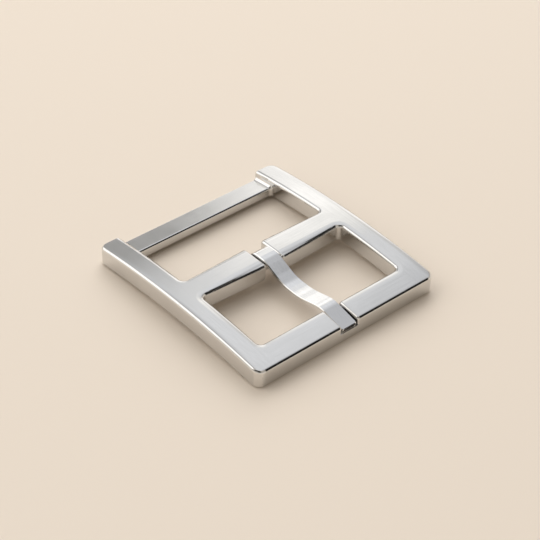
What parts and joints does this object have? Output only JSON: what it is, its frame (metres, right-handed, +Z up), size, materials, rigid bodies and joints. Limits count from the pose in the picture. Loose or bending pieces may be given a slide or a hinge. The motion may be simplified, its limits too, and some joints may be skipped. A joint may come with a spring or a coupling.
{
  "type": "watch tang buckle",
  "caption": "Polished steel watch strap buckle: arched frame with rails, notched front bar, low strap bar, and a bent tang hinged on a pin between the lugs of the centre bar.",
  "frame": {"origin": "middle of the footprint, on the surface that the two ends of the arched frame rest on", "axes": "+X along the bars to the right rail, +Y from the notched front bar to the low strap bar, +Z up"},
  "size_m": [0.024, 0.0254, 0.003],
  "materials": {
    "frame_steel": "polished stainless steel",
    "pin_steel": "turned steel, flush end lightly brushed",
    "tang_steel": "polished stainless steel"
  },
  "bodies": {
    "frame": {"buckle_frame": "frame_steel", "hinge_pin": "pin_steel"},
    "tang": {"tang": "tang_steel"}
  },
  "joints": [
    {"name": "tang_hinge", "type": "hinge", "parent": "frame", "child": "tang", "pos_m": [0, 0.00036, 0.00191], "axis": [-1, 0, 0], "range_deg": [0, 178]}
  ]
}
